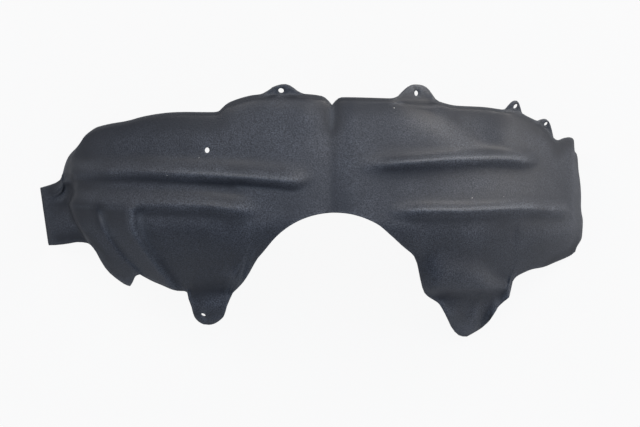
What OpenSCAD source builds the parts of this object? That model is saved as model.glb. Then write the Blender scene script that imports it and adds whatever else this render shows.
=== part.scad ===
// Wheel arch liner of a passenger car, moulded from one plastic sheet.
// X runs along the car, Y towards its outer side, Z up. In the sizes below X = 0 is the fold across
// the crown, and the finished sheet is set down with the origin under the middle of its box.

/* [Sheet] */
// Thickness of the moulded sheet
sheet_t = 2.4; // [2:0.1:3]
// Height of the crown of the arch above its two ends
crown_z = 268; // [256:1:290]

/* [Arch] */
// Radius of the arch over the wheel
arch_r = 400; // [340:1:450]
// How much wider the arch's left half is than its right half
left_wide = 1.08; // [1:0.01:1.12]
// X of the arch's highest line
arch_x = -10; // [-14:1:10]
// Radius of the slight crown across the arch
cross_r = 900; // [700:10:1500]
// Y of the middle of that crown
cross_y = 70; // [50:1:90]

/* [Inner wall] */
// Y at which the arch starts to roll over into the inner wall
wall_y = -8; // [-14:1:-6]
// Rise over run of the inner wall
wall_slope = 1.8; // [1.5:0.05:1.9]
// Size of the roll between the arch and the wall
wall_roll = 38; // [34:1:70]
// Y at which the left foot bends out of the wall
foot_y = -109; // [-116:1:-106]
// Y at which it bends down again
plate_y = -126; // [-131:1:-122]
// Rise over run of the left foot
foot_slope = 1.1; // [0.6:0.05:1.3]

/* [Suspension cut-out] */
// Radius of the cut-out in the inner edge
cutout_r = 115; // [108:1:118]
// X of its middle
cutout_x = 4; // [0:1:5]
// Y of its highest point
cutout_y = 1; // [-6:1:2]

/* [Beads] */
// Height of the long stiffening beads
bead_h = 14; // [6:0.5:16]
// Height of the lower left bead
low_bead_h = 11; // [5:0.5:13]
// Width of the gentle upper slope of the upper left bead
gentle_rise = 19; // [16:1:26]
// Width of the upper slope of the lower left bead
low_rise = 18; // [10:1:20]
// Width of the steep lower slope of the left beads
left_fall = 13; // [10:1:18]
// Width of the upper slope of the right beads
right_rise = 12; // [9:1:18]
// Width of the lower slope of the right beads
right_fall = 14; // [11:1:20]

/* [Fold] */
// Depth of the fold across the crown at the cut-out
fold_depth = 7; // [3:0.5:9]
// Its depth at the outer edge
fold_deep = 13; // [6:0.5:14]
// Width of its left side
fold_left = 54; // [40:1:60]
// Width of its right side
fold_right = 34; // [26:1:50]
// Depth of the notch where the fold meets the outer edge
notch_depth = 11; // [6:1:14]

/* [Outer rim] */
// Width of the rolled outer rim
rim_w = 6; // [4:0.5:8]
// Drop of the rolled outer rim
rim_drop = 6; // [3:0.5:8]
// Width of the sunk flange that carries the two upper tabs
flange_w = 9; // [7:0.5:14]
// Drop of the sunk flange
flange_drop = 11; // [7:0.5:13]
// Drop of the shoulder beside the right upper tab
shoulder_drop = 14; // [6:0.5:16]

/* [Ends] */
// Step from the arch down to the left flap
flap_step = 42; // [30:1:48]
// Plan width of that step
flap_step_w = 3.5; // [3:0.5:6]
// Slope of the rounded skirt above the flap
skirt_slope = 3.4; // [2.4:0.1:4]
// Height of the first terrace at the left end
terrace_a = 7; // [2:0.5:8]
// Height of the second terrace at the left end
terrace_b = 14; // [4:0.5:15]

/* [Blister] */
// Height of the blister low on the right
blister_h = 42; // [34:1:50]
// Depth of the groove under the blister
blister_groove = 22; // [12:1:28]
// Height of the right foot below that groove
toe_h = 34; // [26:1:40]

/* [Tabs and holes] */
// Length of the left upper tab
left_tab_l = 13; // [12:0.5:18]
// Length of the right upper tab
right_tab_l = 21; // [17:0.5:24]
// Length of the two small ears at the right shoulder
ear_l = 15; // [10:0.5:16]
// Slope at which the ears stand up from the rim
ear_slope = 0.7; // [0:0.05:0.9]
// Slope at which the left upper tab stands up
tab_slope = 0.5; // [0:0.05:0.7]
// Diameter of the four clip holes
clip_d = 7.5; // [6:0.1:8.5]
// Diameter of the hole in the outermost ear
ear_d = 6; // [4.5:0.1:7]
// Diameter of the hole in the left foot
foot_d = 7; // [5:0.1:8]

/* [Hidden] */
$fn = 30;

// Arch radius that the lengths along X are drawn at; they stretch with the arch
drawn_r = 400;
long = arch_r / drawn_r;

// Where the arch ends, left and right, and the outermost line of each end
left_x = -366;
right_x = 345;
flap_x = -420;
strip_x = 361;
// How far the outer end of the flap leans over its width, and the Y that the lean starts from
flap_lean = 13;
flap_top = 44;
flap_bottom = -46;
// Width of the wall between the flap and the skirt above it
skirt_wall = 8;

// Left edge of the arch: Y and X
left_edge = [[-60, -331], [-53, -332], [-37, -344], [-19, -356], [1, -366], [14, -370], [25, -362],
  [50, -366], [80, -365], [96, -355], [104, -352]];
// Ragged outer edge of the right end: Y, and how far it lies from right_x
right_edge = [[-58, 5], [-48, 8], [-42, 12], [-34, 15.5], [-9, 17], [0, 15], [14, 14], [24, 15],
  [32, 15], [52, 11.5], [70, 10], [84, 9], [90, 5], [104, 4]];

// Outer edge without its tabs: X and Y
rim_keys = [[-420, 37], [-400, 42], [-386, 47], [-383, 61], [-380, 73], [-373, 85], [-367, 94],
  [-364, 104], [-351, 112], [-331, 120], [-309, 125], [-284, 128], [-255, 135], [-213, 139],
  [-155, 138], [-149, 144], [-140, 151], [-124, 157], [-106, 161], [-88, 162], [-36, 162],
  [0, 158], [42, 157], [81, 156], [140, 154], [155, 151], [166, 148], [205, 147], [232, 144],
  [262, 139], [270, 136], [286, 129], [299, 119], [306, 112], [312, 106], [318, 102], [324, 106],
  [330, 107], [337, 109], [344, 107], [361, 98]];
// Inner edge left of the cut-out: X and Y
left_keys = [[-420, -46], [-400, -45], [-384, -41], [-372, -42], [-368, -46], [-366, -54],
  [-364, -68], [-353, -90], [-346, -102], [-343, -104], [-340, -100], [-333, -88], [-328, -86],
  [-325, -90], [-317, -95], [-298, -101], [-286, -106], [-277, -109], [-202, -111], [-199, -122],
  [-197, -140], [-192, -150], [-181, -158], [-170, -158], [-157, -151], [-150, -143],
  [-144, -120], [-134, -107], [-122, -96], [-115, -85], [-109, -74], [-101, -60], [-94, -53]];
// Inner edge right of the cut-out: X and Y
right_keys = [[66, -19], [78, -28], [90, -39], [100, -48], [110, -55], [116, -60], [118, -69],
  [120, -84], [122, -100], [131, -114], [155, -129], [170, -163], [178, -176], [190, -178],
  [208, -169], [222, -158], [228, -147], [234, -136], [244, -126], [252, -117], [256, -96],
  [267, -86], [286, -79], [300, -77], [322, -69], [336, -64], [345, -60], [361, -55]];

// Crest lines of the upper and the lower beads, carried on between them: X and Y
upper_crest = [[-420, 60], [-338, 58], [-279, 58], [-193, 54], [-111, 49], [-54, 45], [40, 66],
  [85, 69], [119, 71], [174, 75], [223, 77], [275, 75], [361, 74]];
lower_crest = [[-420, 19], [-343, 18], [-297, 15], [-243, 13], [-172, 11], [-122, 6], [83, 4],
  [126, 5], [174, 5], [223, 7], [276, 9], [313, 7], [361, 6]];
// Where each bead ends: the left ones at their right end, the right ones at both
upper_left_end = -64;
lower_left_end = -134;
upper_right = [28, 274];
lower_right = [72, 328];
// Lengths over which the right beads rise out of the arch at their left ends
upper_fade = 82;
lower_fade = 58;
row_fade = 60;
// Length of the round noses of the left and the right beads
left_nose = 40;
right_nose = 14;

// Terrace lines at the left end: Y and X
terrace_a_line = [[-104, -258], [-82, -272], [-60, -294], [-32, -313], [-6, -325], [12, -328]];
terrace_b_line = [[-110, -219], [-98, -226], [-68, -247], [-38, -266], [-18, -275], [12, -276]];
// Plan width of the lit facet at each terrace
terrace_a_w = 5;
terrace_b_w = 11;
// X at which the columns stop leaning with the terraces
lean_end = -203;

// Upper line of the blister: X and Y
blister_line = [[96, -52], [118, -53], [150, -49], [185, -52], [206, -59], [229, -75], [247, -84],
  [267, -89]];
blister_rise_w = 46;
// X over which the blister stands up from the wall
blister_start = [110, 148];
// Y of the groove under it, and the plan widths of the groove and of the foot's rise
groove_y = -104;
groove_w = 12;
toe_w = 24;

// Crease at the foot of the shoulder beside the right upper tab: X and Y
shoulder_line = [[88, 150], [129, 138], [160, 124], [194, 100], [215, 95]];
// Width of the shoulder's fall, and the X at which it begins and ends
shoulder_w = 36;
shoulder_in = [84, 130];
shoulder_out = [190, 255];

// Small ledge over the left foot: its middle, half length, widths above and below, and height
bar_mid = [-128, -86];
bar_half = 24;
bar_up = 13;
bar_down = 22;
bar_h = 16;

// Tabs on the outer edge: X of base, tip, tip and base
left_tab = [-92, -74, -59, -42];
right_tab = [84, 110, 129, 143];
ear_a = [237, 254, 261, 264];
ear_b = [285, 303, 309, 311];
// X over which the left foot takes its rows, at its left and its right side
foot_left = [-250, -204];
foot_right = [-108, -146];
// Slope of the short ledge between the wall and the plate of the left foot
ledge_slope = 0.1;
// Flange stretches behind the two upper tabs: start and end
left_flange = [-146, -6];
right_flange = [84, 146];
flange_in = 12;
// Notch at the fold: its X and half width
notch_x = -1;
notch_half = 8;

// Round holes: X, Y and diameter
holes = [
  [-69, 166, clip_d],
  [115.5, 164, clip_d],
  [254.5, 148, clip_d],
  [300, 125, ear_d],
  [-170, 86, clip_d],
  [-181, -143.5, foot_d]
];
hole_reach = 16;

// Columns along the arch: from, to and count
spans = [[-420, -386, 2], [-386, -383, 1], [-383, -373, 2], [-373, -369.5, 1], [-369.5, -366, 1],
  [-366, -346, 3], [-346, -328, 5], [-328, -323, 1], [-323, -276, 4], [-276, -265, 2],
  [-265, -203, 4], [-203, -192, 3], [-192, -154, 5], [-154, -136, 5], [-136, -109, 3],
  [-109, -94, 2], [-94, -56, 3], [-56, 0, 6], [0, 34, 4], [34, 66, 3], [66, 142, 9],
  [142, 170, 3], [170, 206, 3], [206, 232, 4], [232, 264, 7], [264, 280, 1], [280, 312, 6], [312, 345, 5],
  [345, 361, 2]];
// Rows in each band between the inner edge, the wall, bead, crease and rim lines, and the outer edge
bands = [2, 2, 3, 3, 3, 2, 2, 3, 2, 3, 2, 2, 1];
// Least width of a band, and of one on the inner wall
band_min = 3;
wall_min = 7;
// Bands between the inner edge and the lowest bead line
wall_bands = 4;
// Step at which slopes are measured
probe = 1.5;

function clamp01(t) = max(0, min(1, t));
function ease(t) = let (c = clamp01(t)) c * c * (3 - 2 * c);
function mix(a, b, t) = a + (b - a) * t;

// Smooth curve through key points, without overshoot
function chord(keys, k) = (keys[k + 1][1] - keys[k][1]) / (keys[k + 1][0] - keys[k][0]);
function key_slope(keys, k) =
  k < 1 ? chord(keys, 0) :
  k > len(keys) - 2 ? chord(keys, k - 1) :
  let (a = chord(keys, k - 1), b = chord(keys, k))
  a * b <= 0 ? 0 : 2 * a * b / (a + b);
function key_index(keys, x, k) =
  k >= len(keys) - 2 || x < keys[k + 1][0] ? k : key_index(keys, x, k + 1);
function curve(keys, x) =
  let (
    k = key_index(keys, x, 0),
    w = keys[k + 1][0] - keys[k][0],
    t = clamp01((x - keys[k][0]) / w),
    s0 = key_slope(keys, k) * w,
    s1 = key_slope(keys, k + 1) * w,
    y0 = keys[k][1],
    y1 = keys[k + 1][1]
  )
  y0 + t * (s0 + t * (3 * (y1 - y0) - 2 * s0 - s1 + t * (2 * (y0 - y1) + s0 + s1)));

// Soft hill, and the sharp V of a fold with its own width on each side
function hill(t, w) = abs(t) >= w ? 0 : (1 + cos(180 * t / w)) / 2;
function fold(t, left, right) =
  let (c = 1 - min(1, t < 0 ? -t / left : t / right))
  c * c;

function stretch_in(x, ends) = ease((x - ends[0]) / (ends[1] - ends[0]));

// Heights of the features, at a point in plan
function arch_at(x) =
  let (r = x < arch_x ? drawn_r * left_wide : drawn_r)
  long * (r - sqrt(r * r - pow(x - arch_x, 2)));
function cross_at(y) = pow(min(abs(y - cross_y), cross_y - wall_y), 2) / (2 * cross_r);
function wall_at(y) =
  let (
    run = max(0, wall_y - y),
    to_foot = wall_y - foot_y,
    steep = min(run, to_foot)
  )
  wall_slope * (norm([steep, wall_roll]) - wall_roll);
function foot_part(x) =
  min(ease((x - foot_left[0]) / (foot_left[1] - foot_left[0])),
    ease((x - foot_right[0]) / (foot_right[1] - foot_right[0])));
function bar_part(x) = hill(x - bar_mid[0], 2 * bar_half);
function left_foot_at(x, y) =
  let (
    below = max(0, foot_y - y),
    plate = max(0, plate_y - y),
    turned = ledge_slope * (below - plate) + foot_slope * plate
  )
  mix(turned, wall_slope * below, ease((x - cutout_x + cutout_r) / cutout_r));
// A bead rises softly to its crest and falls off it ever more steeply, and is round at its ends
function bead_at(x, y, crest, ends, nose, up, down) =
  let (
    t = y - crest,
    past = max(0, x - ends[1], ends[0] - x),
    d = norm([past / nose, t / (t > 0 ? up : down)]),
    under = t < 0 ? pow(t / down / d, 2) : 0
  )
  d >= 1 ? 0 : mix(hill(d, 1), cos(90 * d), under);
function beads_at(x, y) =
  let (
    hi = curve(upper_crest, x),
    lo = curve(lower_crest, x)
  )
  bead_h * bead_at(x, y, hi, [flap_x, upper_left_end], left_nose, gentle_rise, left_fall)
  + low_bead_h * bead_at(x, y, lo, [flap_x, lower_left_end], left_nose, low_rise, left_fall)
  + bead_h * ease((x - upper_right[0]) / upper_fade)
    * bead_at(x, y, hi, [notch_x, upper_right[1]], right_nose, right_rise, right_fall)
  + bead_h * ease((x - lower_right[0]) / lower_fade)
    * bead_at(x, y, lo, [notch_x, lower_right[1]], right_nose, right_rise, right_fall);
function terraces_at(x, y) =
  let (
    under = ease((curve(lower_crest, x) - y) / left_fall),
    a = curve(terrace_a_line, y),
    b = curve(terrace_b_line, y),
    rise = clamp01((x - a) / (b - a))
  )
  under * (terrace_a * (1 - ease((x - a) / terrace_a_w))
    + terrace_b * rise * (1 - ease((x - b) / terrace_b_w)));
function blister_at(x, y) =
  ease((x - blister_start[0]) / (blister_start[1] - blister_start[0]))
  * (blister_h * ease((curve(blister_line, x) - y) / blister_rise_w)
    - blister_groove * ease((groove_y - y) / groove_w)
    + toe_h * ease((groove_y - groove_w - y) / toe_w));
function shoulder_at(x, y) =
  let (fall = clamp01(1 + (y - curve(shoulder_line, x)) / shoulder_w))
  shoulder_drop * fall * fall * stretch_in(x, shoulder_in) * (1 - stretch_in(x, shoulder_out));
function bar_at(x, y) =
  let (t = y - bar_mid[1])
  bar_h * hill(x - bar_mid[0], bar_half) * hill(t, t > 0 ? bar_up : bar_down);

// Outer rim: how far a stretch of sunk flange has set in, and the roll itself
function stretch(x, ends) =
  min(ease((x - ends[0]) / flange_in), ease((ends[1] - x) / flange_in));
function flange_part(x) = max(stretch(x, left_flange), stretch(x, right_flange));
function roll_w(x) = mix(rim_w, flange_w, flange_part(x));
function roll_at(x, y) =
  mix(rim_drop, flange_drop, flange_part(x)) * (1 - ease((rim_y(x) - y) / roll_w(x)));

// Tabs and ears: how far they stand out past the rim
function tab_at(x, t, l) =
  l * min(ease((x - t[0]) / (t[1] - t[0])), ease((t[3] - x) / (t[3] - t[2])));
function ears_at(x) = tab_at(x, ear_a, ear_l) + tab_at(x, ear_b, ear_l);
function tab_lift(x, y) =
  let (slope = ears_at(x) > 0 ? ear_slope : tab_at(x, left_tab, left_tab_l) > 0 ? tab_slope : 0)
  slope * max(0, y - rim_y(x));

function rim_y(x) = curve(rim_keys, x) - notch_depth * hill(x - notch_x, notch_half);
function outer_y(x) =
  rim_y(x) + tab_at(x, left_tab, left_tab_l) + tab_at(x, right_tab, right_tab_l) + ears_at(x);
function inner_y(x) =
  let (dx = x - cutout_x, arc = sqrt(max(0, cutout_r * cutout_r - dx * dx)))
  x < left_keys[len(left_keys) - 1][0] ? curve(left_keys, x) :
  x > right_keys[0][0] ? curve(right_keys, x) :
  cutout_y - cutout_r + arc;

// Height of the arch itself, and then of the two ends beyond it
function arch_z(x, y) =
  crown_z - arch_at(x) - cross_at(y) - wall_at(y) - left_foot_at(x, y)
  + beads_at(x, y) + terraces_at(x, y) + blister_at(x, y) + bar_at(x, y) + tab_lift(x, y)
  - shoulder_at(x, y) - roll_at(x, y)
  - mix(fold_depth, fold_deep, ease(y / cross_y - 1)) * fold(x, fold_left, fold_right);
function left_edge_x(y) = curve(left_edge, y);
function flap_end_x(y) = flap_x + flap_lean * clamp01((flap_top - y) / (flap_top - flap_bottom));
function flap_z(x, y) =
  let (
    edge = left_edge_x(y),
    past = edge - x,
    top = arch_z(edge, y),
    plain = crown_z - arch_at(edge) - cross_at(y) - wall_at(y) - flap_step,
    stepped = mix(top, plain, clamp01(past / flap_step_w)),
    rest = clamp01((past - flap_step_w) / (edge - flap_end_x(y) - flap_step_w))
  )
  mix(mix(stepped, sheet_t, rest), top - skirt_slope * past, ease((y - flap_top) / skirt_wall));
function strip_z(x, y) =
  mix(arch_z(right_x, y), sheet_t, clamp01((x - right_x) / curve(right_edge, y)));
function top_z(x, y) =
  x < left_edge_x(y) ? flap_z(x, y) : x > right_x ? strip_z(x, y) : arch_z(x, y);

// Columns of the sheet's grid, and the Y of each row in a column
columns = concat([spans[0][0]],
  [for (s = spans) for (k = [1:s[2]]) mix(s[0], s[1], k / s[2])]);
function lines_at(x) =
  let (
    lo = inner_y(x),
    hi = outer_y(x),
    u = curve(upper_crest, x),
    l = curve(lower_crest, x),
    right = ease(x / row_fade),
    fall = mix(left_fall, right_fall, right),
    wall = [for (k = [1:wall_bands - 1]) mix(lo, l - fall, k / wall_bands)],
    foot_lines = mix([wall[0], wall[1]], [plate_y, foot_y], foot_part(x)),
    left = concat(foot_lines, [mix(wall[2], bar_mid[1] + bar_up, bar_part(x))]),
    low_top = l + mix(low_rise, right_rise, right),
    top = u + mix(gentle_rise, right_rise, right),
    roll = rim_y(x) - roll_w(x),
    crease = mix((top + roll) / 2, curve(shoulder_line, x), shoulder_part(x)),
    want = concat([lo], mix(left, blister_rows(x), right),
      [l - fall, l, low_top, u - fall, u, top, crease, roll, rim_y(x), hi]),
    last = len(want) - 1,
    up = push_up(want, last, 1, [lo])
  )
  push_down(up, last - 1, [hi]);
function shoulder_part(x) =
  stretch_in(x, [notch_x, shoulder_in[0]]) * (1 - stretch_in(x, shoulder_out));
function blister_rows(x) = [groove_y - groove_w, groove_y, curve(blister_line, x)];
function push_up(want, last, k, done) =
  let (least = k < wall_bands ? wall_min : band_min)
  k > last ? done :
  push_up(want, last, k + 1, concat(done, [max(want[k], done[k - 1] + least)]));
function push_down(up, k, done) =
  k < 1 ? concat([up[0]], done) : push_down(up, k - 1, concat([min(up[k], done[0] - band_min)], done));
function rows_at(x) =
  let (lines = lines_at(x))
  concat([lines[0]], [for (b = [0:len(bands) - 1]) for (k = [1:bands[b]])
    mix(lines[b], lines[b + 1], k / bands[b])]);

// Plan X of a grid point: the left columns lean with the left edge and the terraces, the last ones
// with the right edge
function guides(y) =
  let (a = curve(terrace_a_line, y), b = curve(terrace_b_line, y))
  [
    [flap_x, flap_end_x(y)],
    [left_x, left_edge_x(y)],
    [terrace_a_line[len(terrace_a_line) - 1][1], a],
    [terrace_a_line[len(terrace_a_line) - 1][1] + terrace_a_w, a + terrace_a_w],
    [terrace_b_line[len(terrace_b_line) - 1][1], b],
    [terrace_b_line[len(terrace_b_line) - 1][1] + terrace_b_w, b + terrace_b_w],
    [lean_end, lean_end]
  ];
function plan_x(x, y) =
  x > right_x ? mix(right_x, right_x + curve(right_edge, y), (x - right_x) / (strip_x - right_x)) :
  x > lean_end ? x :
  let (g = guides(y), k = key_index(g, x, 0))
  g[k][1] + (x - g[k][0]) * chord(g, k);

outer_skin = [for (x = columns) [for (y = rows_at(x))
  let (px = plan_x(x, y)) [px * long, y, top_z(px, y)]]];
nx = len(outer_skin) - 1;
ny = len(outer_skin[0]) - 1;
function skin_normal(i, j) =
  let (
    along = outer_skin[min(i + 1, nx)][j] - outer_skin[max(i - 1, 0)][j],
    across = outer_skin[i][min(j + 1, ny)] - outer_skin[i][max(j - 1, 0)],
    n = cross(along, across)
  )
  n / norm(n);
inner_skin = [for (i = [0:nx]) [for (j = [0:ny]) outer_skin[i][j] - sheet_t * skin_normal(i, j)]];

// Middle of the foot of the box round the sheet
all_points = [for (side = [outer_skin, inner_skin]) for (column = side) each column];
function span_of(k) = let (v = [for (p = all_points) p[k]]) [min(v), max(v)];
foot = [(span_of(0)[0] + span_of(0)[1]) / 2, (span_of(1)[0] + span_of(1)[1]) / 2, span_of(2)[0]];

module sheet() {
  half = (nx + 1) * (ny + 1);
  function at(i, j) = i * (ny + 1) + j;
  function two(a, b, c, d) = [[a, b, c], [a, c, d]];
  outer = [for (i = [0:nx - 1]) for (j = [0:ny - 1])
    each two(at(i, j), at(i, j + 1), at(i + 1, j + 1), at(i + 1, j))];
  inner = [for (f = outer) [half + f[0], half + f[2], half + f[1]]];
  long_edges = [for (i = [0:nx - 1]) each concat(
    two(at(i, 0), at(i + 1, 0), half + at(i + 1, 0), half + at(i, 0)),
    two(at(i + 1, ny), at(i, ny), half + at(i, ny), half + at(i + 1, ny)))];
  end_edges = [for (j = [0:ny - 1]) each concat(
    two(at(0, j + 1), at(0, j), half + at(0, j), half + at(0, j + 1)),
    two(at(nx, j), at(nx, j + 1), half + at(nx, j + 1), half + at(nx, j)))];
  polyhedron(all_points, concat(outer, inner, long_edges, end_edges));
}

// A round hole square to the sheet
module hole(x, y, d) {
  dzdx = (top_z(x + probe, y) - top_z(x - probe, y)) / (2 * probe * long);
  dzdy = (top_z(x, y + probe) - top_z(x, y - probe)) / (2 * probe);
  tilt = acos(1 / norm([dzdx, dzdy, 1]));
  translate([x * long, y, top_z(x, y)])
    rotate(tilt, [dzdy, -dzdx, 0])
      cylinder(d = d, h = hole_reach, center = true);
}

module liner() {
  color("#3b3f44")
    translate(-foot)
      difference() {
        sheet();
        for (h = holes) hole(h[0], h[1], h[2]);
      }
}

liner();
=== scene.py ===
"""Finish and photo stage for a car's wheel arch liner, moulded from one plastic sheet."""
import math

import bmesh
import bpy
from bpy.props import (FloatProperty, FloatVectorProperty, IntProperty,
                       PointerProperty, StringProperty)
from bpy.types import Operator, Panel, PropertyGroup
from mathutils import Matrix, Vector
from mathutils.kdtree import KDTree


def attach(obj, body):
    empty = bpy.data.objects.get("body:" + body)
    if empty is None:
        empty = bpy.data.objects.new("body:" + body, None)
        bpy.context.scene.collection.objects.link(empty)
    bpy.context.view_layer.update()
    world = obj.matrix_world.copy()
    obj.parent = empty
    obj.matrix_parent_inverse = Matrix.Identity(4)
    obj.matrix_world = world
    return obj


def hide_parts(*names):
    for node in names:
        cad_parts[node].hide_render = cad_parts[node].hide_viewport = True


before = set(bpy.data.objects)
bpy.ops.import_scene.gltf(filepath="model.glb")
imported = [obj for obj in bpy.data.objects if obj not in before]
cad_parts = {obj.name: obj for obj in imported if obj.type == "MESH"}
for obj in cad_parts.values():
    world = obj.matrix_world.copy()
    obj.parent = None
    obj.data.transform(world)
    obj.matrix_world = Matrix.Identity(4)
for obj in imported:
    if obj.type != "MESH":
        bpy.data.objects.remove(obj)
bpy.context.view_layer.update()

bl_info = {
    "name": "Wheel arch liner",
    "version": (1, 0, 0),
    "blender": (4, 5, 0),
    "location": "3D View > Sidebar > Liner",
    "description": "Smooths, grains and lights a moulded wheel arch liner",
    "category": "Object",
}

CAD_NODE = "liner"
BODY = "root"
# Mesh attribute that is 1 on the cut edges of the sheet and 0 away from them
TRIM = "trimmed_edge"
# Mesh attribute for the share of paler speckle: the grain's own speckle, raised as painted
# highlight on crests and two ledges, cut to 0 as painted shade near the outer rim and on the skirt
SPECKLE_SHEEN_SHADE = "exposure"
# The outer rim, near which the skin gets painted shade, is every cut edge beyond one of these lines
# in plan
RIM_BACK = 0.10
RIM_LEFT = -0.29
RIM_RIGHT = 0.34
# Places in plan where the solid's grid is sheared and its height is evened out, with a radius
ROUGH_SPOTS = (
    ((0.257, -0.143), 0.020),   # right edge of the right foot
    ((0.277, -0.119), 0.020),   # right edge of the blister
    ((-0.352, 0.039), 0.024),   # corner of the flap under the skirt
)
# How far one round of evening takes a point towards the mean of its neighbours
EVENING_SHARE = 0.6
# Soft swellings: middle in plan, reach along X, reach to +Y, reach to -Y, height
SWELLINGS = (
    ((-0.140, -0.131), 0.020, 0.014, 0.010, 0.007),  # ledge of the left foot
    ((0.000, 0.140), 0.028, 0.014, 0.034, 0.004),    # shoulder left of the fold
)
# Ledges that get a painted highlight as paler speckle: middle in plan, reach along X, reach along Y
PAINTED_LEDGE_HIGHLIGHTS = (
    ((-0.105, -0.081), 0.022, 0.012),  # small ledge above the left foot
    ((-0.134, -0.126), 0.020, 0.016),  # ledge of the left foot
)
# Speckle share of level skin, the painted highlight that a rise over the neighbours adds, and the
# painted highlight that a listed ledge adds
LEVEL_SPECKLE_SHARE = 0.5
CREST_HIGHLIGHT_GAIN = 1.5
LEDGE_HIGHLIGHT_GAIN = 0.6
# Skin that looks to the left by more than this is the skirt and gets painted shade, fully so a span
# later
SKIRT_LOOK = 0.7
SKIRT_SPAN = 0.15

# Sockets of a colour Mix node, whose names are shared with its other kinds of value
MIX_A = 6
MIX_B = 7
MIX_RESULT = 2
# Values of the grain noise between which the speckle, and the fraying of cut edges, comes up
SPECKLE_BAND = (0.35, 0.72)
FRAY_BAND = (0.3, 0.6)
FRAY_SHARE = (0.05, 0.35)
# Values of the patch noise between which the clouding comes up, and its least and most
CLOUD_BAND = (0.3, 0.7)
CLOUD_SHARE = (0.3, 0.9)
# Speckle where the painted highlight is strongest, against 1 for level skin
MOST_SPECKLE = 2.0
# Roughness that the least and the most clouding add
CLOUD_DULLNESS = (-0.05, 0.06)
WHITE = "#ffffff"
SENSOR_MM = 36.0
FAR_CLIP = 50.0


# Settings

class LinerShape(PropertyGroup):
    """How the moulded sheet is smoothed."""
    weld: FloatProperty(
        name="Weld distance", description="Points nearer than this become one",
        default=0.00002, precision=5, unit="LENGTH")
    quad_angle: FloatProperty(
        name="Quad angle", description="Triangle pairs flatter than this become one quad",
        default=math.radians(40), subtype="ANGLE")
    quad_shape: FloatProperty(
        name="Quad shape", description="How far a quad's corners may be from square",
        default=math.radians(60), subtype="ANGLE")
    trim_angle: FloatProperty(
        name="Trimmed edge angle", description="Edges sharper than this are cut edges of the sheet",
        default=math.radians(55), subtype="ANGLE")
    trim_crease: FloatProperty(
        name="Trimmed edge crease", description="How firmly the cut edges are kept",
        default=0.85, min=0.0, max=1.0, subtype="FACTOR")
    relax_rounds: IntProperty(
        name="Evening rounds", description="Rounds of evening out at the rough spots",
        default=8, min=0, max=40)
    fold_x: FloatProperty(
        name="Fold place", description="Where the fold across the crown lies along X",
        default=0.0286, precision=4, unit="LENGTH")
    fold_reach: FloatProperty(
        name="Fold reach", description="Edges nearer than this to the fold are kept crisp",
        default=0.0008, precision=4, unit="LENGTH")
    # The painted shade near the outer rim reaches this far in
    rim_shade_reach: FloatProperty(
        name="Shelter", description="How far the unscuffed skin reaches in from the outer rim",
        default=0.024, unit="LENGTH")
    levels: IntProperty(
        name="Smoothing levels", description="Levels of the subdivision surface",
        default=1, min=0, max=2)


class LinerFinish(PropertyGroup):
    """Colour, grain and wear of the plastic, and the paler colour of its painted highlight."""
    colour: StringProperty(
        name="Plastic", description="Black plastic, sRGB", default="#292b30")
    # The paler colour serves the grain's speckle and the painted highlight on crests and ledges
    wear_and_sheen_colour: StringProperty(
        name="Scuffed plastic", description="The paler grain tops, sRGB", default="#585b62")
    edge_colour: StringProperty(
        name="Cut edge", description="The paler plastic where the sheet was trimmed, sRGB",
        default="#62666c")
    dust_colour: StringProperty(
        name="Dust", description="Specks of dust and swarf, sRGB", default="#b4b2ac")
    roughness: FloatProperty(
        name="Roughness", description="Dullness of the moulded skin",
        default=0.51, min=0.0, max=1.0, subtype="FACTOR")
    specular: FloatProperty(
        name="Specular level", description="Strength of the sheen",
        default=0.42, min=0.0, max=1.0, subtype="FACTOR")
    ior: FloatProperty(
        name="IOR", description="Index of refraction of polyethylene", default=1.5, min=1.0)
    grain: FloatProperty(
        name="Grain width", description="Width of one bump of the grain",
        default=0.0019, precision=4, unit="LENGTH")
    grain_depth: FloatProperty(
        name="Grain depth", description="Height of the grain's bumps",
        default=0.0003, precision=5, unit="LENGTH")
    patch: FloatProperty(
        name="Patch width", description="Width of the duller and paler patches",
        default=0.06, unit="LENGTH")
    speck_gap: FloatProperty(
        name="Speck spacing", description="Space that holds one speck of dust at most",
        default=0.022, unit="LENGTH")
    speck: FloatProperty(
        name="Speck size", description="Half the width of one speck of dust",
        default=0.0007, precision=4, unit="LENGTH")
    speck_share: FloatProperty(
        name="Speck share", description="Share of those spaces that hold a speck",
        default=0.14, min=0.0, max=1.0, subtype="FACTOR")


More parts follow.
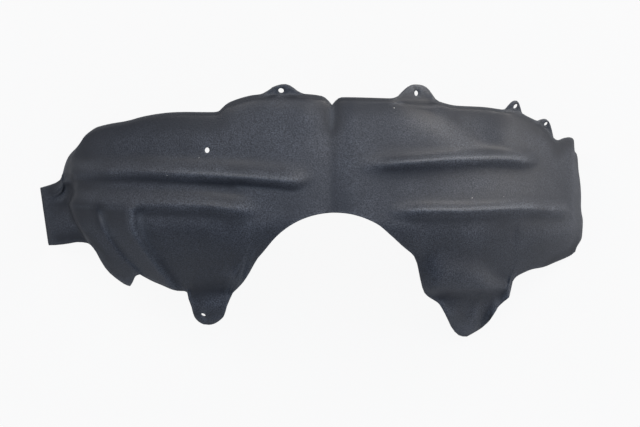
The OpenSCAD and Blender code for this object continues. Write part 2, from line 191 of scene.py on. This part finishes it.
class LinerStage(PropertyGroup):
    """Floor, lamps, sky and camera."""
    floor_size: FloatProperty(
        name="Floor size", description="Side of the square floor", default=6.0, unit="LENGTH")
    floor_colour: StringProperty(
        name="Floor", description="Pale floor, sRGB", default="#b0b0b0")
    camera_height: FloatProperty(
        name="Camera height", description="Camera over the floor", default=4.262, unit="LENGTH")
    camera_place: FloatVectorProperty(
        name="Camera place", description="Camera in plan", size=2,
        default=(0.0123, 0.0006), unit="LENGTH")
    lens: FloatProperty(
        name="Lens", description="Focal length on a 36 mm sensor, in mm", default=166.7)
    lamp_target: FloatVectorProperty(
        name="Lamp target", description="Point that each lamp looks at", size=3,
        default=(0.0, 0.0, 0.15), unit="LENGTH")
    top_watts: FloatProperty(
        name="Top lamp", description="Power of the high lamp over the back edge",
        default=27.0, unit="POWER")
    top_place: FloatVectorProperty(
        name="Top place", description="Middle of the top lamp", size=3,
        default=(0.82, 1.42, 3.24), unit="LENGTH")
    side_watts: FloatProperty(
        name="Side lamp", description="Power of the low lamp on the right",
        default=46.0, unit="POWER")
    side_place: FloatVectorProperty(
        name="Side place", description="Middle of the side lamp", size=3,
        default=(3.4, 0.0, 1.0), unit="LENGTH")
    key_watts: FloatProperty(
        name="Key lamp", description="Power of the low lamp behind and to the right",
        default=70.0, unit="POWER")
    key_place: FloatVectorProperty(
        name="Key place", description="Middle of the key lamp", size=3,
        default=(2.4, 2.4, 1.0), unit="LENGTH")
    back_watts: FloatProperty(
        name="Back lamp", description="Power of the lamp behind and to the left",
        default=40.0, unit="POWER")
    back_place: FloatVectorProperty(
        name="Back place", description="Middle of the back lamp", size=3,
        default=(-1.95, 1.95, 2.3), unit="LENGTH")
    lamp_size: FloatProperty(
        name="Lamp size", description="Side of each square lamp", default=1.6, unit="LENGTH")
    lamp_colour: StringProperty(
        name="Lamp colour", description="Slightly warm lamps, sRGB", default="#fffaf4")
    sky_strength: FloatProperty(
        name="Sky", description="Strength of the overhead light straight above", default=1.0)
    sky_fall: FloatProperty(
        name="Sky fall", description="How fast the overhead light fades towards the horizon",
        default=1.5)
    sky_colour: StringProperty(
        name="Sky colour", description="Slightly blue overhead light, sRGB", default="#d4e4ff")
    white_share: FloatProperty(
        name="White share", description="Share of pure white in the paper that the camera sees",
        default=0.92, min=0.0, max=1.0, subtype="FACTOR")
    gloss_share: FloatProperty(
        name="Gloss share", description="Share of the white surround that reflections see",
        default=0.12, min=0.0, max=1.0, subtype="FACTOR")


# Materials

def linear(hex_colour):
    """A colour written as sRGB hex, as the linear RGBA that a shader takes."""
    def channel(value):
        return value / 12.92 if value <= 0.04045 else ((value + 0.055) / 1.055) ** 2.4
    code = hex_colour.lstrip("#")
    return tuple(channel(int(code[i:i + 2], 16) / 255) for i in (0, 2, 4)) + (1.0,)


def add_node(tree, kind, settings=None, inputs=None):
    """Adds one node, gives it its settings, and fills or links its inputs."""
    node = tree.nodes.new(kind)
    for name, value in (settings or {}).items():
        setattr(node, name, value)
    for name, value in (inputs or {}).items():
        if isinstance(value, bpy.types.NodeSocket):
            tree.links.new(value, node.inputs[name])
        else:
            node.inputs[name].default_value = value
    return node


def new_material(name):
    """An empty node material with its output."""
    material = bpy.data.materials.new(name)
    material.use_nodes = True
    material.node_tree.nodes.clear()
    return material, add_node(material.node_tree, "ShaderNodeOutputMaterial")


def grained_polyethylene(finish):
    """Thermoformed high-density polyethylene, carbon black, with a moulded grain: dull and
    slightly cold in colour, with a broad soft sheen, a fine speckle, paler cut edges and
    sparse dust. The speckle also carries painted highlight on crests and ledges and painted
    shade near the outer rim and on the skirt."""
    material, output = new_material("grained_black_polyethylene")
    tree = material.node_tree
    place = add_node(tree, "ShaderNodeTexCoord").outputs["Object"]

    # The real grain is about 1 mm wide, too fine for this view, so it is drawn 1.9 mm wide.
    grain = add_node(tree, "ShaderNodeTexNoise", {"noise_dimensions": "3D"}, {
        "Vector": place, "Scale": 1.0 / finish.grain, "Detail": 2.0, "Roughness": 0.6})
    speckle = add_node(tree, "ShaderNodeMapRange", {"clamp": True}, {
        "Value": grain.outputs["Fac"],
        "From Min": SPECKLE_BAND[0], "From Max": SPECKLE_BAND[1]})

    # Patches of handling dust and uneven cooling, about 60 mm wide
    patches = add_node(tree, "ShaderNodeTexNoise", {"noise_dimensions": "3D"}, {
        "Vector": place, "Scale": 1.0 / finish.patch, "Detail": 3.0, "Roughness": 0.55})
    clouding = add_node(tree, "ShaderNodeMapRange", {"clamp": True}, {
        "Value": patches.outputs["Fac"], "From Min": CLOUD_BAND[0], "From Max": CLOUD_BAND[1],
        "To Min": CLOUD_SHARE[0], "To Max": CLOUD_SHARE[1]})
    clouded = add_node(tree, "ShaderNodeMath", {"operation": "MULTIPLY"}, {
        0: speckle.outputs["Result"], 1: clouding.outputs["Result"]})
    # Paler speckle where the skin stands out, as painted highlight on crests and ledges; painted
    # shade keeps rim, tabs, flap and skirt dark.
    sheen_shade_map = add_node(tree, "ShaderNodeAttribute", {"attribute_name": SPECKLE_SHEEN_SHADE})
    reach = add_node(tree, "ShaderNodeMapRange", {"clamp": True}, {
        "Value": sheen_shade_map.outputs["Fac"], "To Min": 0.0, "To Max": MOST_SPECKLE})
    paling = add_node(tree, "ShaderNodeMath", {"operation": "MULTIPLY"}, {
        0: clouded.outputs["Value"], 1: reach.outputs["Result"]})
    skin = add_node(tree, "ShaderNodeMix", {"data_type": "RGBA"}, {
        "Factor": paling.outputs["Value"],
        MIX_A: linear(finish.colour), MIX_B: linear(finish.wear_and_sheen_colour)})

    # Wear along the cut edges, broken up by the grain
    trim = add_node(tree, "ShaderNodeAttribute", {"attribute_name": TRIM})
    frayed = add_node(tree, "ShaderNodeMapRange", {"clamp": True}, {
        "Value": grain.outputs["Fac"], "From Min": FRAY_BAND[0], "From Max": FRAY_BAND[1],
        "To Min": FRAY_SHARE[0], "To Max": FRAY_SHARE[1]})
    worn = add_node(tree, "ShaderNodeMath", {"operation": "MULTIPLY"}, {
        0: trim.outputs["Fac"], 1: frayed.outputs["Result"]})
    edged = add_node(tree, "ShaderNodeMix", {"data_type": "RGBA"}, {
        "Factor": worn.outputs["Value"],
        MIX_A: skin.outputs[MIX_RESULT], MIX_B: linear(finish.edge_colour)})

    # Dust: one cell in seven holds a speck about 1.4 mm wide
    cells = add_node(tree, "ShaderNodeTexVoronoi", {"voronoi_dimensions": "3D"}, {
        "Vector": place, "Scale": 1.0 / finish.speck_gap})
    near = add_node(tree, "ShaderNodeMath", {"operation": "LESS_THAN"}, {
        0: cells.outputs["Distance"], 1: finish.speck / finish.speck_gap})
    draw = add_node(tree, "ShaderNodeSeparateColor", {}, {"Color": cells.outputs["Color"]})
    picked = add_node(tree, "ShaderNodeMath", {"operation": "LESS_THAN"}, {
        0: draw.outputs["Red"], 1: finish.speck_share})
    dusty = add_node(tree, "ShaderNodeMath", {"operation": "MULTIPLY"}, {
        0: near.outputs["Value"], 1: picked.outputs["Value"]})
    colour = add_node(tree, "ShaderNodeMix", {"data_type": "RGBA"}, {
        "Factor": dusty.outputs["Value"],
        MIX_A: edged.outputs[MIX_RESULT], MIX_B: linear(finish.dust_colour)})

    # Duller where it is clouded
    dullness = add_node(tree, "ShaderNodeMapRange", {}, {
        "Value": clouding.outputs["Result"],
        "From Min": CLOUD_SHARE[0], "From Max": CLOUD_SHARE[1],
        "To Min": finish.roughness + CLOUD_DULLNESS[0],
        "To Max": finish.roughness + CLOUD_DULLNESS[1]})
    bump = add_node(tree, "ShaderNodeBump", {}, {
        "Strength": 1.0, "Distance": finish.grain_depth, "Height": grain.outputs["Fac"]})
    plastic = add_node(tree, "ShaderNodeBsdfPrincipled", {}, {
        "Base Color": colour.outputs[MIX_RESULT], "Roughness": dullness.outputs["Result"],
        "IOR": finish.ior, "Specular IOR Level": finish.specular,
        "Normal": bump.outputs["Normal"]})
    tree.links.new(plastic.outputs["BSDF"], output.inputs["Surface"])
    return material


def white_to_rays(tree, stage):
    """The share of pure white that a ray sees: most to the camera, a little to reflections."""
    rays = add_node(tree, "ShaderNodeLightPath")
    straight = add_node(tree, "ShaderNodeMath", {"operation": "MAXIMUM"}, {
        0: rays.outputs["Is Camera Ray"], 1: rays.outputs["Is Transmission Ray"]})
    seen = add_node(tree, "ShaderNodeMath", {"operation": "MULTIPLY"}, {
        0: straight.outputs["Value"], 1: stage.white_share})
    mirrored = add_node(tree, "ShaderNodeMath", {"operation": "MULTIPLY"}, {
        0: rays.outputs["Is Glossy Ray"], 1: stage.gloss_share})
    return add_node(tree, "ShaderNodeMath", {"operation": "MAXIMUM"}, {
        0: seen.outputs["Value"], 1: mirrored.outputs["Value"]}).outputs["Value"]


def pale_floor(stage):
    """Matt white paper: it looks white to the camera and keeps a soft shadow."""
    material, output = new_material("matt_white_paper")
    tree = material.node_tree
    paper = add_node(tree, "ShaderNodeBsdfDiffuse", {}, {"Color": linear(stage.floor_colour)})
    white = add_node(tree, "ShaderNodeEmission", {}, {
        "Color": linear(WHITE), "Strength": 1.0})
    mixed = add_node(tree, "ShaderNodeMixShader", {}, {
        0: white_to_rays(tree, stage), 1: paper.outputs["BSDF"], 2: white.outputs["Emission"]})
    tree.links.new(mixed.outputs["Shader"], output.inputs["Surface"])
    return material


def overhead_sky(tree, stage):
    """A slightly blue light that is strongest straight above and fades to the horizon."""
    way = add_node(tree, "ShaderNodeTexCoord").outputs["Generated"]
    height = add_node(tree, "ShaderNodeSeparateXYZ", {}, {"Vector": way}).outputs["Z"]
    above = add_node(tree, "ShaderNodeMath", {"operation": "MAXIMUM"}, {0: height, 1: 0.0})
    fade = add_node(tree, "ShaderNodeMath", {"operation": "POWER"}, {
        0: above.outputs["Value"], 1: stage.sky_fall})
    power = add_node(tree, "ShaderNodeMath", {"operation": "MULTIPLY"}, {
        0: fade.outputs["Value"], 1: stage.sky_strength})
    light = add_node(tree, "ShaderNodeBackground", {}, {
        "Color": linear(stage.sky_colour), "Strength": power.outputs["Value"]})
    white = add_node(tree, "ShaderNodeBackground", {}, {
        "Color": linear(WHITE), "Strength": 1.0})
    sky = add_node(tree, "ShaderNodeMixShader", {}, {
        0: white_to_rays(tree, stage), 1: light.outputs["Background"],
        2: white.outputs["Background"]})
    add_node(tree, "ShaderNodeOutputWorld", {}, {"Surface": sky.outputs["Shader"]})


# Pieces

def finish_piece(name, bm, material):
    """Turns a bmesh into an object at the origin, smooth and with its material."""
    mesh = bpy.data.meshes.new(name)
    bm.to_mesh(mesh)
    bm.free()
    mesh.shade_smooth()
    mesh.materials.append(material)
    piece = bpy.data.objects.new(name, mesh)
    bpy.context.collection.objects.link(piece)
    return piece


def same_side(vert, crossing):
    """The neighbours of a point on its own side of the sheet."""
    return [edge.other_vert(vert) for edge in vert.link_edges if edge not in crossing]


def even_out(bm, crossing, spot, radius, rounds):
    """Evens the heights round a spot, each side of the sheet by itself; the plan stays."""
    verts = [vert for vert in bm.verts if (vert.co.xy - Vector(spot)).length < radius]
    for _ in range(rounds):
        heights = {}
        for vert in verts:
            near = same_side(vert, crossing)
            away = (vert.co.xy - Vector(spot)).length / radius
            mean = sum(other.co.z for other in near) / len(near)
            share = EVENING_SHARE * (1.0 - away * away)
            heights[vert] = vert.co.z + (mean - vert.co.z) * share
        for vert, height in heights.items():
            vert.co.z = height


def swell(bm, middle, reach_x, reach_up, reach_down, height):
    """Raises a soft ridge: both sides of the sheet rise together, so its wall stays."""
    for vert in bm.verts:
        across = abs(vert.co.x - middle[0]) / reach_x
        along = vert.co.y - middle[1]
        along = along / reach_up if along > 0 else -along / reach_down
        if across < 1.0 and along < 1.0:
            falls = [0.5 + 0.5 * math.cos(math.pi * share) for share in (across, along)]
            vert.co.z += height * falls[0] * falls[1]


def on_outer_rim(place):
    """Whether a point of a cut edge belongs to the outer rim, not to the arch or a clip hole."""
    return place.y > RIM_BACK or place.x < RIM_LEFT or place.x > RIM_RIGHT


def exposure(vert, rim_shade, crossing):
    """The share of paler speckle at a point of the skin: more, as painted highlight, where it
    stands out from its neighbours or lies on a listed ledge; less, as painted shade, near the outer
    rim and on the steep skirt."""
    others = same_side(vert, crossing)
    rise = sum((vert.co - other.co).normalized().dot(vert.normal) for other in others)
    # Painted highlight where the point rises over its neighbours
    crest_highlight = CREST_HIGHLIGHT_GAIN * rise / len(others)
    # Painted shade on the skin that looks left, the skirt
    skirt = min(1.0, max(0.0, (-vert.normal.x - SKIRT_LOOK) / SKIRT_SPAN))
    paling = 0.0
    # Painted highlight on the listed ledges
    for middle, reach_x, reach_y in PAINTED_LEDGE_HIGHLIGHTS:
        away = math.hypot((vert.co.x - middle[0]) / reach_x, (vert.co.y - middle[1]) / reach_y)
        paling = max(paling, 1.0 - away * away)
    gained = LEVEL_SPECKLE_SHARE + crest_highlight + LEDGE_HIGHLIGHT_GAIN * paling
    return min(1.0, max(0.0, gained - max(rim_shade, skirt)))


def find_edges(bm, trim_angle):
    """The sheet's cut edges, and the edges that cross its thickness between them."""
    cut = {edge for edge in bm.edges if edge.calc_face_angle(0.0) > trim_angle}
    crossing = {edge for edge in bm.edges if edge not in cut and all(
        sum(side in cut for side in face.edges) >= 2 for face in edge.link_faces)}
    return cut, crossing


def keep_crisp(bm, cut, crease, trim, shape):
    """Creases the cut edges and the fold, and marks the cut edges' points."""
    for edge in cut:
        edge[crease] = shape.trim_crease
        for vert in edge.verts:
            vert[trim] = 1.0
    for edge in bm.edges:
        if all(abs(vert.co.x - shape.fold_x) < shape.fold_reach for vert in edge.verts):
            edge[crease] = 1.0


def mark_sheen_and_shade(bm, crossing, trim, sheen_shade_layer, rim_shade_reach):
    """Writes on each point its share of paler speckle, with the painted highlight and the painted
    shade.
    """
    rim = [vert.co for vert in bm.verts if vert[trim] and on_outer_rim(vert.co)]
    tree = KDTree(len(rim))
    for index, place in enumerate(rim):
        tree.insert(place, index)
    tree.balance()
    for vert in bm.verts:
        # Painted shade that fades in from the outer rim
        rim_shade = max(0.0, 1.0 - tree.find(vert.co)[2] / rim_shade_reach)
        vert[sheen_shade_layer] = exposure(vert, rim_shade, crossing)


class LINER_OT_moulding(Operator):
    """Make the smooth moulded sheet from the solid's own faces"""
    bl_idname = "liner.moulding"
    bl_label = "Moulded sheet"

    def execute(self, context):
        shape = context.scene.liner_shape
        bm = bmesh.new()
        bm.from_mesh(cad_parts[CAD_NODE].data)
        bmesh.ops.remove_doubles(bm, verts=bm.verts, dist=shape.weld)
        bmesh.ops.join_triangles(
            bm, faces=bm.faces, angle_face_threshold=shape.quad_angle,
            angle_shape_threshold=shape.quad_shape)
        if any(not edge.is_manifold for edge in bm.edges):
            raise RuntimeError("the sheet has an open edge")
        # Layers come first: a new one makes every point and edge found before it stale.
        crease = bm.edges.layers.float.new("crease_edge")
        trim = bm.verts.layers.float.new(TRIM)
        # Share of paler speckle with painted highlight and painted shade
        sheen_shade_layer = bm.verts.layers.float.new(SPECKLE_SHEEN_SHADE)
        bm.normal_update()
        cut, crossing = find_edges(bm, shape.trim_angle)
        for spot, radius in ROUGH_SPOTS:
            even_out(bm, crossing, spot, radius, shape.relax_rounds)
        for swelling in SWELLINGS:
            swell(bm, *swelling)
        bm.normal_update()
        keep_crisp(bm, cut, crease, trim, shape)
        mark_sheen_and_shade(bm, crossing, trim, sheen_shade_layer, shape.rim_shade_reach)

        plastic = grained_polyethylene(context.scene.liner_finish)
        sheet = finish_piece("liner_moulding", bm, plastic)
        smooth = sheet.modifiers.new("smooth", "SUBSURF")
        smooth.levels = smooth.render_levels = shape.levels
        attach(sheet, BODY)
        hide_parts(CAD_NODE)
        return {"FINISHED"}


def aim(thing, target):
    """Turns a lamp so that it looks at a point."""
    thing.rotation_euler = (Vector(target) - thing.location).to_track_quat("-Z", "Y").to_euler()


class LINER_OT_stage(Operator):
    """Set the floor, the lamps, the sky and the camera"""
    bl_idname = "liner.stage"
    bl_label = "Photo stage"

    def execute(self, context):
        scene = context.scene
        stage = scene.liner_stage

        bm = bmesh.new()
        bmesh.ops.create_grid(bm, x_segments=1, y_segments=1, size=stage.floor_size / 2)
        floor = finish_piece("stage_floor", bm, pale_floor(stage))

        for name in ("key", "side", "back", "top"):
            lamp = bpy.data.lights.new(f"{name}_lamp", "AREA")
            lamp.energy = getattr(stage, f"{name}_watts")
            lamp.size = stage.lamp_size
            lamp.color = linear(stage.lamp_colour)[:3]
            light = bpy.data.objects.new(f"{name}_lamp", lamp)
            light.location = getattr(stage, f"{name}_place")
            scene.collection.objects.link(light)
            aim(light, stage.lamp_target)

        world = scene.world or bpy.data.worlds.new("studio")
        scene.world = world
        world.use_nodes = True
        world.node_tree.nodes.clear()
        overhead_sky(world.node_tree, stage)

        camera = bpy.data.cameras.new("camera")
        camera.lens = stage.lens
        camera.sensor_width = SENSOR_MM
        camera.clip_end = FAR_CLIP
        view = bpy.data.objects.new("camera", camera)
        view.location = (*stage.camera_place, stage.camera_height)
        scene.collection.objects.link(view)
        scene.camera = view
        scene.view_settings.view_transform = "Standard"
        return {"FINISHED"}


class LINER_PT_panel(Panel):
    """Lists the liner's steps and settings"""
    bl_label = "Wheel arch liner"
    bl_space_type = "VIEW_3D"
    bl_region_type = "UI"
    bl_category = "Liner"

    def draw(self, context):
        for name, steps in (("liner_shape", ("liner.moulding",)), ("liner_finish", ()),
                            ("liner_stage", ("liner.stage",))):
            box = self.layout.box()
            settings = getattr(context.scene, name)
            for key in settings.__annotations__:
                box.prop(settings, key)
            for step in steps:
                box.operator(step)


GROUPS = {"liner_shape": LinerShape, "liner_finish": LinerFinish, "liner_stage": LinerStage}
CLASSES = (*GROUPS.values(), LINER_OT_moulding, LINER_OT_stage, LINER_PT_panel)


def register():
    for cls in CLASSES:
        bpy.utils.register_class(cls)
    for name, group in GROUPS.items():
        setattr(bpy.types.Scene, name, PointerProperty(type=group))


def unregister():
    for name in GROUPS:
        delattr(bpy.types.Scene, name)
    for cls in reversed(CLASSES):
        bpy.utils.unregister_class(cls)


def main():
    register()
    bpy.ops.liner.stage()
    bpy.ops.liner.moulding()
    bpy.context.view_layer.update()


if __name__ == "__main__":
    main()
